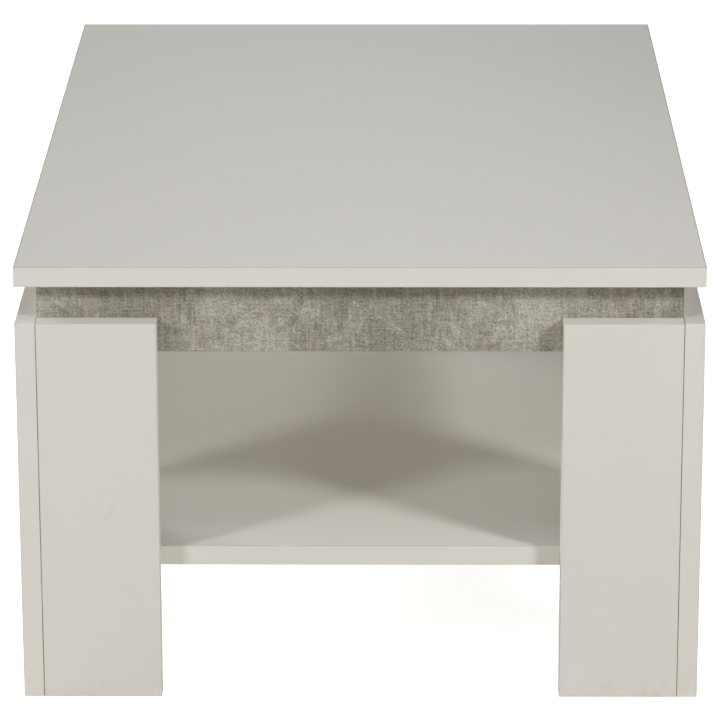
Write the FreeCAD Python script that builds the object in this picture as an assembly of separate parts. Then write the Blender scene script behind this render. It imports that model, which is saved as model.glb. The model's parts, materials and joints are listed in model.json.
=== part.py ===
import FreeCAD, Part
import math
import os
from FreeCAD import Vector

# Lift top coffee table, in millimetres, +Z up.
# The origin is on the floor under the middle of the table. X runs across the width and Y along
# the length. The near end is at -Y, the left side at -X, and the top lifts up and towards +X.

# Overall sizes
table_length = 900.0
table_width = 600.0
table_height = 400.0

# Boards
board_thickness = 18.0      # legs and aprons
top_thickness = 18.0
shelf_thickness = 18.0
floor_thickness = 6.0       # floor of the storage box
edging_thickness = 0.8      # strips glued round the top
edge_round = 0.5            # softened edges of every board
leg_rise = 31.0             # apron's bottom edge to the top of a leg
leg_end_width = 105.0       # a leg's end board, along X
leg_side_width = 123.0      # a leg's side board, along Y
shelf_top = 137.0
apron_height = 62.0
lid_gap = 2.0               # apron's top edge to the underside of the top
floor_rise = 6.0            # apron's bottom edge to the underside of the floor
groove_bite = 6.0           # how far the floor reaches into its groove
groove_end_gap = 1.0
groove_play = 0.2

# Cam locks: a bolt screwed into one board's face, held by a cam in the other board
cam_radius = 7.5
cam_reach = 34.0            # joint plane to the cam's centre
cam_sink = 0.2              # cam below its board's face
cam_bolt_thread_radius = 3.0
cam_bolt_bite = 11.0
cam_bolt_shank_radius = 2.5
cam_bolt_head_radius = 3.5
cam_bolt_head_length = 3.0
cam_channel_radius = 4.0
dowel_radius = 4.0
dowel_end_gap = 0.5
dowel_edge_depth = 18.0
dowel_skin = 6.0            # board left behind a dowel in a face
fit_gap = 0.05              # radial gap of every fitted piece
press_gap = 0.02            # radial gap of pressed pieces

# Heights of the joints in a leg, and places along the boards
leg_cam_heights = (75.0, 265.0)
leg_dowel_heights = (35.0, 170.0, 305.0)
shelf_bolt_inset = 67.0     # from the leg's corner to the shelf's bolt, along either board
shelf_dowel_inset = 27.0
leg_screw_insets = (32.0, 82.0)
leg_screw_below_top = 9.0
leg_screw_shift = 5.0       # side screws a little further in, clear of the apron's cam
apron_cam_rise = 27.0       # above the apron's bottom edge
apron_dowel_rise = 48.0

# Wood screws with countersunk heads
screw_radius = 2.0
screw_head_radius = 4.0
screw_head_height = 2.4
leg_screw_bite = 12.0       # into the leg
plate_screw_bite = 12.0     # into the apron or the top
screw_clearance = 0.05

# Rubber bumpers under the top
bumper_radius = 5.0
bumper_gap = 0.3
bumper_inset = 42.0

# Lift mechanism. Its pieces lie in layers, measured inwards from the end apron's inner face.
plate_thickness = 2.0
plate_margin = 12.0         # plate beyond its pivots
plate_corner = 3.0
arm_thickness = 3.0
washer_thickness = 0.6
side_play = 0.1
flange_width = 24.0
base_flange_width = 12.0
base_flange_lift = 0.5      # base plate above the storage floor
headroom_above_arms = 10.0
gap_between_arms = 6.0
gap_under_arms = 4.0
gap_under_lug = 5.0
lug_end_radius = 7.0
pivot_spread = 60.0         # front pivot to rear pivot, along X
pivot_head_height = 1.4
pivot_head_margin = 1.0     # head inside the arm's round end
washer_margin = 0.5         # washer inside the arm's round end
bracket_tail = 40.0         # rear pivot to the bracket's end
bracket_nose_gap = 10.0     # bracket's other end to the middle of the arm at rest
bracket_screw_count = 4
bracket_screw_inset = 15.0
room_behind_bracket = 54.0
lift_angle = 118.0          # degrees, arms level at rest and past upright when raised
lug_angle = -18.0           # degrees, the lug's direction at rest, from +X
stop_margin = 6.0           # stop beyond the arm's round end, along the raised arm
stop_radius = 3.0
stop_gap = 0.3

# Tube between the two front arms
sync_shift = 10.0           # tube nearer the front pivot than a third of the arm
sync_radius = 8.0
sync_wall = 1.5
sync_plug_length = 20.0
sync_screw_radius = 2.5
sync_screw_head_radius = 4.6
sync_screw_length = 16.0

# Gas strut
strut_radius = 7.5
strut_wall = 1.2
strut_layer_gap = 1.9       # strut to the bracket's layer
strut_anchor_inset = 14.0   # from the side apron's inner face
strut_reach = 170.0         # anchor to the front pivot, along X
strut_anchor_drop = 10.0    # anchor below the front pivot
strut_tube_start = 14.0     # along the strut, from the anchor
strut_tube_length = 105.0
strut_end_wall = 3.0
gland_length = 8.0
rod_radius = 3.0
piston_length = 6.0
piston_gap = 0.3            # piston to gland when raised
piston_clearance = 0.1
anchor_neck_radius = 4.5
rod_eye_radius = 6.0
rod_eye_thickness = 8.0
rod_neck_radius = 3.8
rod_neck_length = 6.0
rod_pin_radius = 2.5
anchor_eye_radius = 7.0
anchor_eye_thickness = 10.0
anchor_stud_radius = 4.0
anchor_shoulder_radius = 6.0
clip_thickness = 0.8
clip_opening = 3.0
eye_play = 0.2              # beside each eye
slot_clearance = 0.4

# Places worked out from the sizes above
half_length = table_length / 2
half_width = table_width / 2
top_underside = table_height - top_thickness
apron_top = top_underside - lid_gap
apron_bottom = apron_top - apron_height
apron_outer_x = half_width - board_thickness
apron_outer_y = half_length - board_thickness
apron_inner_x = apron_outer_x - board_thickness
apron_inner_y = apron_outer_y - board_thickness
leg_height = apron_bottom + leg_rise
floor_underside = apron_bottom + floor_rise
floor_top = floor_underside + floor_thickness
shelf_underside = shelf_top - shelf_thickness
dowel_face_depth = board_thickness - dowel_skin
cam_height = board_thickness / 2 + cam_bolt_head_radius - cam_sink

# Layers of the mechanism, each as (outer, inner) distance from the apron's inner face
base_layer = (0.0, plate_thickness)
outer_washer_layer = (base_layer[1] + side_play, base_layer[1] + side_play + washer_thickness)
arm_layer = (outer_washer_layer[1] + side_play, outer_washer_layer[1] + side_play + arm_thickness)
inner_washer_layer = (arm_layer[1] + side_play, arm_layer[1] + side_play + washer_thickness)
bracket_layer = (inner_washer_layer[1] + side_play,
                 inner_washer_layer[1] + side_play + plate_thickness)
strut_depth = bracket_layer[1] + strut_layer_gap + strut_radius

# Pivots, as (x, z). The arms are as wide and as long as the storage box leaves room for.
room_for_arms = top_underside - floor_top - headroom_above_arms - gap_between_arms - gap_under_arms
arm_half_width = room_for_arms / 4
pivot_radius = arm_half_width / 2
pivot_head_radius = arm_half_width - pivot_head_margin
washer_radius = arm_half_width - washer_margin
anchor = (apron_inner_x - strut_anchor_inset,
          top_underside - headroom_above_arms - arm_half_width - strut_anchor_drop)
front_pivot = (anchor[0] - strut_reach, anchor[1] + strut_anchor_drop)
pivot_drop = 2 * arm_half_width + gap_between_arms
rear_pivot = (front_pivot[0] - pivot_spread, front_pivot[1] - pivot_drop)
arm_length = (front_pivot[0] + apron_inner_x - pivot_spread - bracket_tail
              - room_behind_bracket)
bracket_nose = arm_length / 2 - bracket_nose_gap
front_top_pivot = (front_pivot[0] - arm_length, front_pivot[1])
rear_top_pivot = (rear_pivot[0] - arm_length, rear_pivot[1])
sync_offset = (arm_length - sync_shift) / 3
sync_place = (front_pivot[0] - sync_offset, front_pivot[1])
lug_reach = front_pivot[1] - floor_top - gap_under_lug - lug_end_radius


# Basic solids

def block(xs, ys, zs):
    """Box between two values along each axis, in either order."""
    low = Vector(min(xs), min(ys), min(zs))
    size = (abs(xs[1] - xs[0]), abs(ys[1] - ys[0]), abs(zs[1] - zs[0]))
    return Part.makeBox(size[0], size[1], size[2], low)


def board(xs, ys, zs):
    """Board with its twelve edges softened."""
    plain = block(xs, ys, zs)
    return plain.makeFillet(edge_round, plain.Edges)


def cylinder(radius, start, end):
    """Cylinder between two points."""
    start = Vector(*start)
    along = Vector(*end) - start
    return Part.makeCylinder(radius, along.Length, start, along)


def place(shape, origin, x_axis, z_axis):
    """Copy of a shape drawn at the origin, moved so that its X and Z point along the two axes."""
    x_axis = Vector(*x_axis)
    z_axis = Vector(*z_axis)
    y_axis = z_axis.cross(x_axis)
    matrix = FreeCAD.Matrix(x_axis.x, y_axis.x, z_axis.x, origin[0],
                            x_axis.y, y_axis.y, z_axis.y, origin[1],
                            x_axis.z, y_axis.z, z_axis.z, origin[2],
                            0, 0, 0, 1)
    moved = shape.copy()
    moved.Placement = FreeCAD.Placement(matrix)
    return moved


def ring(outer, inner, bottom, top):
    """Washer shape standing on Z."""
    solid = Part.makeCylinder(outer, top - bottom, Vector(0, 0, bottom))
    return solid.cut(Part.makeCylinder(inner, top - bottom, Vector(0, 0, bottom)))


def polar(centre, radius, degrees):
    """Point at a distance and direction from a centre, in the XZ plane."""
    angle = math.radians(degrees)
    return (centre[0] + radius * math.cos(angle), centre[1] + radius * math.sin(angle))


# Fasteners, each drawn along its own axes and then placed

def cam_lock():
    """Cam, its face at z = board_thickness / 2, the bolt entering along +X at z = 0."""
    face = board_thickness / 2 - cam_sink
    centre = Vector(cam_reach, 0, face - cam_height)
    cam = Part.makeCylinder(cam_radius, cam_height, centre)
    mouth = cylinder(cam_bolt_head_radius + 0.3, (cam_reach - cam_radius - 1, 0, 0),
                     (cam_reach + cam_bolt_head_radius, 0, 0))
    cam = cam.cut(mouth)
    for turn in (45, 135):
        drive = block((-3.2, 3.2), (-0.6, 0.6), (face - 2.0, face + 1))
        drive.rotate(Vector(0, 0, 0), Vector(0, 0, 1), turn)
        drive.translate(Vector(cam_reach, 0, 0))
        cam = cam.cut(drive)
    return cam


def cam_bolt():
    """Bolt along +X: thread in the face board at x < 0, head in the cam."""
    head_end = cam_reach + 1.5
    head_start = head_end - cam_bolt_head_length
    thread = cylinder(cam_bolt_thread_radius, (-cam_bolt_bite, 0, 0), (0, 0, 0))
    shank = cylinder(cam_bolt_shank_radius, (-1, 0, 0), (head_start + 1, 0, 0))
    head = cylinder(cam_bolt_head_radius, (head_start, 0, 0), (head_end, 0, 0))
    return thread.fuse([shank, head]).removeSplitter()


def cam_face_hole():
    """Hole for the bolt's thread in the board that it is screwed into."""
    return cylinder(cam_bolt_thread_radius + fit_gap, (-cam_bolt_bite - 0.5, 0, 0), (0, 0, 0))


def cam_edge_hole():
    """Channel for the bolt and pocket for the cam in the other board."""
    face = board_thickness / 2
    channel = cylinder(cam_channel_radius, (-1, 0, 0), (cam_reach, 0, 0))
    pocket = Part.makeCylinder(cam_radius + fit_gap, cam_height + cam_sink + 1,
                               Vector(cam_reach, 0, face - cam_height - cam_sink - 0.3))
    return channel.fuse(pocket)


def dowel(gap=0.0):
    """Dowel along X through the joint plane at x = 0; with a gap, the hole that it needs."""
    end_gap = dowel_end_gap if gap else 0.0
    solid = cylinder(dowel_radius + gap, (-dowel_face_depth - end_gap, 0, 0),
                     (dowel_edge_depth + end_gap, 0, 0))
    if gap:
        return solid
    return solid.makeChamfer(0.8, [edge for edge in solid.Edges if len(edge.Vertexes) == 1])


def wood_screw(length):
    """Countersunk screw, its head's face at z = 0, pointing down -Z."""
    head = Part.makeCone(screw_head_radius, screw_radius, screw_head_height,
                         Vector(0, 0, 0), Vector(0, 0, -1))
    shank = cylinder(screw_radius, (0, 0, -screw_head_height), (0, 0, 3 - length))
    tip = Part.makeCone(screw_radius, 0.4, 3, Vector(0, 0, 3 - length), Vector(0, 0, -1))
    screw = head.fuse([shank, tip]).removeSplitter()
    for turn in (0, 90):
        drive = block((-2.2, 2.2), (-0.5, 0.5), (-1.4, 1))
        drive.rotate(Vector(0, 0, 0), Vector(0, 0, 1), turn)
        screw = screw.cut(drive)
    return screw


def screw_hole(length):
    """Countersunk hole for a wood screw."""
    gap = screw_clearance
    head = Part.makeCone(screw_head_radius + gap, screw_radius + gap, screw_head_height,
                         Vector(0, 0, 0), Vector(0, 0, -1))
    shank = cylinder(screw_radius + gap, (0, 0, -screw_head_height), (0, 0, -length - 0.5))
    return head.fuse(shank)


# Joints: each is listed once, and its pieces and holes all come from that entry

corners = [(side, end) for end in (-1, 1) for side in (-1, 1)]


def corner_name(side, end):
    return ("near" if end < 0 else "far") + "_" + ("left" if side < 0 else "right")


def leg_joints(side, end, heights):
    """Places where a leg's side board meets its end board: origin, x axis, z axis."""
    y = end * (apron_outer_y + board_thickness / 2)
    return [((side * apron_outer_x, y, z), (-side, 0, 0), (0, -end, 0)) for z in heights]


def shelf_joints(side, end, inset):
    """Places where the shelf meets a leg: first its end board, then its side board."""
    z = shelf_underside + shelf_thickness / 2
    at_end = ((side * (apron_outer_x - inset), end * apron_outer_y, z), (0, -end, 0), (0, 0, -1))
    at_side = ((side * apron_outer_x, end * (apron_outer_y - inset), z), (-side, 0, 0), (0, 0, -1))
    return at_end, at_side


def apron_joint(side, end, rise):
    """Place where a side apron's end meets an end apron's inner face."""
    x = side * (apron_inner_x + board_thickness / 2)
    return ((x, end * apron_inner_y, apron_bottom + rise), (0, -end, 0), (-side, 0, 0))


def leg_screw_places(side, end):
    """Screws from the storage box into a leg: two through the end apron, two through the side."""
    z = leg_height - leg_screw_below_top
    at_end = [((side * (apron_outer_x - inset), end * apron_inner_y, z), (0, 0, 1), (0, -end, 0))
              for inset in leg_screw_insets]
    at_side = [((side * apron_inner_x, end * (apron_outer_y - inset - leg_screw_shift), z),
                (0, 0, 1), (-side, 0, 0)) for inset in leg_screw_insets]
    return at_end, at_side


def placed(shape, places):
    return [place(shape, *spot) for spot in places]


# Boards

def leg_boards(side, end):
    """The two boards of one leg, drilled for everything that joins them."""
    end_at, side_at = shelf_joints(side, end, shelf_bolt_inset)
    end_dowel, side_dowel = shelf_joints(side, end, shelf_dowel_inset)
    end_screws, side_screws = leg_screw_places(side, end)
    screw_length = board_thickness + leg_screw_bite
    end_board = board((side * (apron_outer_x - leg_end_width), side * apron_outer_x),
                      (end * apron_outer_y, end * half_length), (0, leg_height))
    end_board = end_board.cut(placed(cam_edge_hole(), leg_joints(side, end, leg_cam_heights))
                              + placed(dowel(fit_gap), leg_joints(side, end, leg_dowel_heights))
                              + placed(cam_face_hole(), [end_at])
                              + placed(dowel(fit_gap), [end_dowel])
                              + placed(screw_hole(screw_length), end_screws))
    side_board = board((side * apron_outer_x, side * half_width),
                       (end * (half_length - leg_side_width), end * half_length),
                       (0, leg_height))
    side_board = side_board.cut(placed(cam_face_hole(), leg_joints(side, end, leg_cam_heights))
                                + placed(dowel(fit_gap), leg_joints(side, end, leg_dowel_heights))
                                + placed(cam_face_hole(), [side_at])
                                + placed(dowel(fit_gap), [side_dowel])
                                + placed(screw_hole(screw_length), side_screws))
    return end_board, side_board


def groove(xs, ys):
    """Groove for the storage floor, over the given plan."""
    return block(xs, ys, (floor_underside, floor_top + groove_play))


def end_apron(end):
    """Apron across the short end; its ends are covered by the legs' side boards."""
    panel = board((-apron_outer_x, apron_outer_x), (end * apron_inner_y, end * apron_outer_y),
                  (apron_bottom, apron_top))
    reach = groove_bite + groove_end_gap
    holes = [groove((-apron_inner_x - reach, apron_inner_x + reach),
                    (end * (apron_inner_y - 1), end * (apron_inner_y + reach)))]
    screw_length = board_thickness + leg_screw_bite
    for side in (-1, 1):
        holes += placed(cam_face_hole(), [apron_joint(side, end, apron_cam_rise)])
        holes += placed(dowel(fit_gap), [apron_joint(side, end, apron_dowel_rise)])
        holes += placed(screw_hole(screw_length), leg_screw_places(side, end)[0])
    plate_holes = placed(screw_hole(plate_thickness + plate_screw_bite), base_screw_places())
    holes += [at_end(hole, end) for hole in plate_holes]
    return panel.cut(holes)


def side_apron(side):
    """Apron along the long side, between the two end aprons."""
    panel = board((side * apron_inner_x, side * apron_outer_x), (-apron_inner_y, apron_inner_y),
                  (apron_bottom, apron_top))
    reach = groove_bite + groove_end_gap
    holes = [groove((side * (apron_inner_x - 1), side * (apron_inner_x + reach)),
                    (-apron_inner_y - 1, apron_inner_y + 1))]
    screw_length = board_thickness + leg_screw_bite
    for end in (-1, 1):
        holes += placed(cam_edge_hole(), [apron_joint(side, end, apron_cam_rise)])
        holes += placed(dowel(fit_gap), [apron_joint(side, end, apron_dowel_rise)])
        holes += placed(screw_hole(screw_length), leg_screw_places(side, end)[1])
    return panel.cut(holes)


def storage_floor():
    """Thin panel held in the aprons' grooves."""
    x = apron_inner_x + groove_bite
    y = apron_inner_y + groove_bite
    return block((-x, x), (-y, y), (floor_underside, floor_top))


def lower_shelf():
    """Shelf between the four legs, its cams turned from below."""
    panel = board((-apron_outer_x, apron_outer_x), (-apron_outer_y, apron_outer_y),
                  (shelf_underside, shelf_top))
    holes = []
    for side, end in corners:
        holes += placed(shelf_cam_hole(), shelf_joints(side, end, shelf_bolt_inset))
        holes += placed(dowel(fit_gap), shelf_joints(side, end, shelf_dowel_inset))
    return panel.cut(holes)


def shelf_cam_hole():
    """Cam's channel and pocket, moved to the shelf's own face."""
    return cam_edge_hole().fuse(Part.makeCylinder(cam_radius + fit_gap, shelf_thickness / 2,
                                                  Vector(cam_reach, 0, 0)))


def tabletop():
    """The top's core, inside its edging, drilled from below for the brackets."""
    x = half_width - edging_thickness
    y = half_length - edging_thickness
    core = block((-x, x), (-y, y), (top_underside, table_height))
    screws = placed(screw_hole(plate_thickness + plate_screw_bite), bracket_screw_places())
    return core.cut([at_end(hole, end) for hole in screws for end in (-1, 1)])


def tabletop_edging():
    """Four strips round the top; the end strips cover the side strips' ends."""
    x = half_width - edging_thickness
    y = half_length - edging_thickness
    outer = board((-half_width, half_width), (-half_length, half_length),
                  (top_underside, table_height))
    height = (top_underside, table_height)
    strips = [outer.common(block((-half_width, half_width), (end * y, end * half_length), height))
              for end in (-1, 1)]
    strips += [outer.common(block((side * x, side * half_width), (-y, y), height))
               for side in (-1, 1)]
    return strips


def lid_bumpers():
    """Domed pads on the aprons' top edge, just under the top."""
    height = lid_gap - bumper_gap
    spots = [(side * (apron_outer_x - bumper_inset), end * (apron_inner_y + board_thickness / 2))
             for side, end in corners]
    spots += [(side * (apron_inner_x + board_thickness / 2), 0.0) for side in (-1, 1)]
    pads = []
    for x, y in spots:
        pad = Part.makeCylinder(bumper_radius, height, Vector(x, y, apron_top))
        rim = [edge for edge in pad.Edges
               if len(edge.Vertexes) == 1 and edge.CenterOfMass.z > apron_top + height / 2]
        pads.append(pad.makeFillet(height * 0.6, rim))
    return pads


# Mechanism. Every piece is drawn at the near end, and the far end has its mirror image.

def at_end(shape, end):
    if end < 0:
        return shape
    return shape.mirror(Vector(0, 0, 0), Vector(0, 1, 0))


def depth(value):
    """Y of a plane this far inwards from the near end apron's inner face."""
    return value - apron_inner_y


def plate(points, layer):
    """Flat plate in a layer, from its outline's (x, z) points, its corners rounded."""
    start = depth(layer[0])
    corners_3d = [Vector(x, start, z) for x, z in points]
    outline = Part.makePolygon(corners_3d + [corners_3d[0]])
    solid = Part.Face(outline).extrude(Vector(0, layer[1] - layer[0], 0))
    upright = [edge for edge in solid.Edges
               if abs(edge.tangentAt(edge.FirstParameter).y) > 0.99]
    return solid.makeFillet(plate_corner, upright)


def link(p, p_radius, q, q_radius, layer):
    """Plate whose outline wraps two circles: two tangent lines and two arcs."""
    start = depth(layer[0])
    heading = math.degrees(math.atan2(q[1] - p[1], q[0] - p[0]))
    spacing = math.hypot(q[0] - p[0], q[1] - p[1])
    spread = math.degrees(math.acos((p_radius - q_radius) / spacing))

    def on(centre, radius, degrees):
        x, z = polar(centre, radius, degrees)
        return Vector(x, start, z)

    p_left, p_right = on(p, p_radius, heading + spread), on(p, p_radius, heading - spread)
    q_left, q_right = on(q, q_radius, heading + spread), on(q, q_radius, heading - spread)
    edges = [Part.LineSegment(p_left, q_left),
             Part.Arc(q_left, on(q, q_radius, heading), q_right),
             Part.LineSegment(q_right, p_right),
             Part.Arc(p_right, on(p, p_radius, heading + 180), p_left)]
    outline = Part.Wire([edge.toShape() for edge in edges])
    return Part.Face(outline).extrude(Vector(0, layer[1] - layer[0], 0))


def across(point, radius, layer):
    """Cylinder along Y at an (x, z) point, through a layer."""
    return cylinder(radius, (point[0], depth(layer[0]), point[1]),
                    (point[0], depth(layer[1]), point[1]))


def through(layer):
    """A layer made 1 mm deeper on both sides, for cutting."""
    return (layer[0] - 1, layer[1] + 1)


def lug_centre(fraction):
    """The front arm's lug at a fraction of the lift; the arm turns from -X up over to +X."""
    return polar(front_pivot, lug_reach, lug_angle - fraction * lift_angle)


strut_rest = math.dist(anchor, lug_centre(0))
strut_raised = math.dist(anchor, lug_centre(1))
strut_stroke = strut_raised - strut_rest


def strut_heading(fraction):
    """Direction from the anchor to the lug, in degrees from +X."""
    x, z = lug_centre(fraction)
    return math.degrees(math.atan2(z - anchor[1], x - anchor[0])) % 360


def rod_pin_centre(fraction):
    """The rod's pin, which the strut's swing and stroke carry in step with the lift."""
    heading = strut_heading(0) + fraction * (strut_heading(1) - strut_heading(0))
    return polar(anchor, strut_rest + fraction * strut_stroke, heading)


def lug_slot(layer):
    """Slot that leaves the rod's pin free all the way, from the lug's centre towards the pivot."""
    inwards = 0.0
    sideways = 0.0
    for step in range(21):
        fraction = step / 20
        x, z = rod_pin_centre(fraction)
        turn = math.radians(lug_angle - fraction * lift_angle)
        along = (x - front_pivot[0]) * math.cos(turn) + (z - front_pivot[1]) * math.sin(turn)
        aside = (z - front_pivot[1]) * math.cos(turn) - (x - front_pivot[0]) * math.sin(turn)
        inwards = max(inwards, lug_reach - along)
        sideways = max(sideways, abs(aside))
    radius = rod_pin_radius + sideways + slot_clearance
    inner = polar(front_pivot, lug_reach - inwards, lug_angle)
    return link(lug_centre(0), radius, inner, radius, through(layer))


def base_plate():
    """Plate on the end apron that carries the base pivots, the stop and the strut's anchor."""
    low = floor_top + base_flange_lift
    rear = rear_pivot[0] - plate_margin
    front = anchor[0] + plate_margin
    high = front_pivot[1] + plate_margin
    points = [(rear, low), (front, low), (front, anchor[1] + plate_margin),
              (stop_place()[0] + plate_margin, high), (front_pivot[0] - plate_margin, high),
              (rear, rear_pivot[1] + plate_margin)]
    flange = block((rear + plate_corner, front - plate_corner),
                   (depth(0), depth(base_flange_width)),
                   (low, low + plate_thickness))
    body = plate(points, base_layer).fuse(flange).removeSplitter()
    holes = [across(spot, pivot_radius + fit_gap, through(base_layer))
             for spot in (front_pivot, rear_pivot)]
    holes.append(across(stop_place(), stop_radius + fit_gap, through(base_layer)))
    holes.append(across(anchor, anchor_stud_radius + fit_gap, through(base_layer)))
    holes += placed(screw_hole(plate_thickness + plate_screw_bite), base_screw_places())
    return body.cut(holes)


def base_screw_places():
    """Screws through the base plate into the apron."""
    spots = [(rear_pivot[0] + 30, rear_pivot[1] - 4), (front_pivot[0] + 32, front_pivot[1] - 22),
             (front_pivot[0] + 95, front_pivot[1] - 22), (anchor[0] - 25, anchor[1] - 12)]
    return [((x, depth(plate_thickness), z), (1, 0, 0), (0, 1, 0)) for x, z in spots]


def stop_place():
    """Stop stud, against the raised front arm's forward edge."""
    raised = 180 - lift_angle
    along = polar(front_pivot, arm_half_width + stop_margin, raised)
    return polar(along, arm_half_width + stop_radius + stop_gap, raised - 90)


def front_arm():
    """Bell crank: a long arm to the top bracket and a short lug for the strut."""
    body = link(front_pivot, arm_half_width, front_top_pivot, arm_half_width, arm_layer)
    lug = link(front_pivot, arm_half_width, lug_centre(0), lug_end_radius, arm_layer)
    body = body.fuse(lug).removeSplitter()
    holes = [across(spot, pivot_radius + fit_gap, through(arm_layer))
             for spot in (front_pivot, front_top_pivot)]
    holes.append(lug_slot(arm_layer))
    holes.append(place(sync_screw_shape(fit_gap), *sync_screw_spot()))
    return body.cut(holes)


def rear_arm():
    body = link(rear_pivot, arm_half_width, rear_top_pivot, arm_half_width, arm_layer)
    return body.cut([across(spot, pivot_radius + fit_gap, through(arm_layer))
                     for spot in (rear_pivot, rear_top_pivot)])


def bracket_span():
    """The flange's two ends along X."""
    return (rear_top_pivot[0] - bracket_tail, front_top_pivot[0] + bracket_nose)


def top_bracket():
    """Angle under the top: a web with the two top pivots and a flange screwed to the top."""
    rear = rear_top_pivot[0] - plate_margin
    front = front_top_pivot[0] + 2 * plate_margin
    low = rear_top_pivot[1] - arm_half_width - 1
    points = [(rear, top_underside), (front, top_underside),
              (front, front_top_pivot[1] - plate_corner - 1),
              (front_top_pivot[0] + plate_margin - 2, front_top_pivot[1] - plate_margin),
              (rear_top_pivot[0] + plate_margin, low), (rear, low)]
    flange = block(bracket_span(), (depth(bracket_layer[0]), depth(bracket_layer[0] + flange_width)),
                   (top_underside - plate_thickness, top_underside))
    upright = [edge for edge in flange.Edges
               if abs(edge.tangentAt(edge.FirstParameter).z) > 0.99
               and edge.CenterOfMass.y > depth(bracket_layer[1])]
    body = plate(points, bracket_layer).fuse(flange.makeFillet(plate_corner, upright))
    body = body.removeSplitter()
    holes = [across(spot, pivot_radius + fit_gap, through(bracket_layer))
             for spot in (front_top_pivot, rear_top_pivot)]
    holes += placed(screw_hole(plate_thickness + plate_screw_bite), bracket_screw_places())
    return body.cut(holes)


def bracket_screw_places():
    """Screws up through the bracket's flange into the top."""
    rear, front = bracket_span()
    y = depth(bracket_layer[0] + flange_width * 0.6)
    z = top_underside - plate_thickness
    step = (front - rear - 2 * bracket_screw_inset) / (bracket_screw_count - 1)
    return [((rear + bracket_screw_inset + step * index, y, z), (1, 0, 0), (0, 0, -1))
            for index in range(bracket_screw_count)]


def base_pivot_pin(spot):
    """Rivet fixed flush in the base plate, with its head inside the arm."""
    head = (arm_layer[1] + 2 * side_play, arm_layer[1] + 2 * side_play + pivot_head_height)
    shank = across(spot, pivot_radius, (base_layer[0], head[1]))
    return shank.fuse(across(spot, pivot_head_radius, head)).removeSplitter()


def top_pivot_pin(spot):
    """Rivet through the arm and the bracket's web, with a head on each side."""
    outer = (arm_layer[0] - 2 * side_play - pivot_head_height, arm_layer[0] - 2 * side_play)
    inner = (bracket_layer[1], bracket_layer[1] + pivot_head_height)
    shank = across(spot, pivot_radius, (outer[0], inner[1]))
    heads = [across(spot, pivot_head_radius, outer), across(spot, pivot_head_radius, inner)]
    return shank.fuse(heads).removeSplitter()


def washer(spot, layer):
    return across(spot, washer_radius, layer).cut(across(spot, pivot_radius + fit_gap,
                                                         through(layer)))


def stop_stud():
    return across(stop_place(), stop_radius, (base_layer[0], arm_layer[1]))


def sync_tube():
    """Tube between the two front arms."""
    start = depth(arm_layer[1])
    outside = cylinder(sync_radius, (sync_place[0], start, sync_place[1]),
                       (sync_place[0], -start, sync_place[1]))
    bore = cylinder(sync_radius - sync_wall, (sync_place[0], start - 1, sync_place[1]),
                    (sync_place[0], 1 - start, sync_place[1]))
    return outside.cut(bore)


def sync_plug():
    """Threaded plug in the tube's end."""
    layer = (arm_layer[1], arm_layer[1] + sync_plug_length)
    plug = across(sync_place, sync_radius - sync_wall - fit_gap, layer)
    return plug.cut(across(sync_place, sync_screw_radius + fit_gap, through(layer)))


def sync_screw_shape(gap=0.0):
    """Countersunk machine screw, its head's face at z = 0, pointing down -Z."""
    head_height = sync_screw_head_radius - sync_screw_radius
    head = Part.makeCone(sync_screw_head_radius + gap, sync_screw_radius + gap, head_height,
                         Vector(0, 0, 0), Vector(0, 0, -1))
    shank = cylinder(sync_screw_radius + gap, (0, 0, -head_height), (0, 0, -sync_screw_length))
    screw = head.fuse(shank).removeSplitter()
    if gap:
        return screw
    return screw.cut(hex_socket())


def hex_socket():
    """Hexagonal socket in a screw's head."""
    points = [Vector(*polar((0, 0), 1.7, 60 * index), -1.4) for index in range(7)]
    return Part.Face(Part.makePolygon(points)).extrude(Vector(0, 0, 3))


def sync_screw_spot():
    return ((sync_place[0], depth(arm_layer[0]), sync_place[1]), (1, 0, 0), (0, -1, 0))


# Gas strut: its pieces are drawn along +X from the anchor, and then turned to the rest direction

def along_strut(shape):
    """Place a piece drawn along X, with Y across the table, on the strut's line at rest."""
    turn = math.radians(strut_heading(0))
    x_axis = (math.cos(turn), 0, math.sin(turn))
    z_axis = (-math.sin(turn), 0, math.cos(turn))
    return place(shape, (anchor[0], depth(strut_depth), anchor[1]), x_axis, z_axis)


def eye(radius, bore, thickness, centre_x):
    """Flat eye with its hole along Y."""
    half = thickness / 2
    body = cylinder(radius, (centre_x, -half, 0), (centre_x, half, 0))
    hole = cylinder(bore, (centre_x, -half - 1, 0), (centre_x, half + 1, 0))
    return body, hole


def strut_tube():
    end = strut_tube_start + strut_tube_length
    body = cylinder(strut_radius, (strut_tube_start, 0, 0), (end, 0, 0))
    rims = [edge for edge in body.Edges if len(edge.Vertexes) == 1]
    body = body.makeFillet(1.0, rims)
    bore = cylinder(strut_radius - strut_wall, (strut_tube_start + strut_end_wall, 0, 0),
                    (end + 1, 0, 0))
    return along_strut(body.cut(bore))


def strut_gland():
    """Rod guide in the tube's open end."""
    end = strut_tube_start + strut_tube_length
    body = cylinder(strut_radius - strut_wall - fit_gap, (end - gland_length, 0, 0), (end, 0, 0))
    return along_strut(body.cut(cylinder(rod_radius + fit_gap, (end - gland_length - 1, 0, 0),
                                         (end + 1, 0, 0))))


def strut_anchor_eye():
    body, hole = eye(anchor_eye_radius, anchor_stud_radius + fit_gap, anchor_eye_thickness, 0)
    neck = cylinder(anchor_neck_radius, (0, 0, 0), (strut_tube_start, 0, 0))
    return along_strut(body.fuse(neck).cut(hole).removeSplitter())


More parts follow.
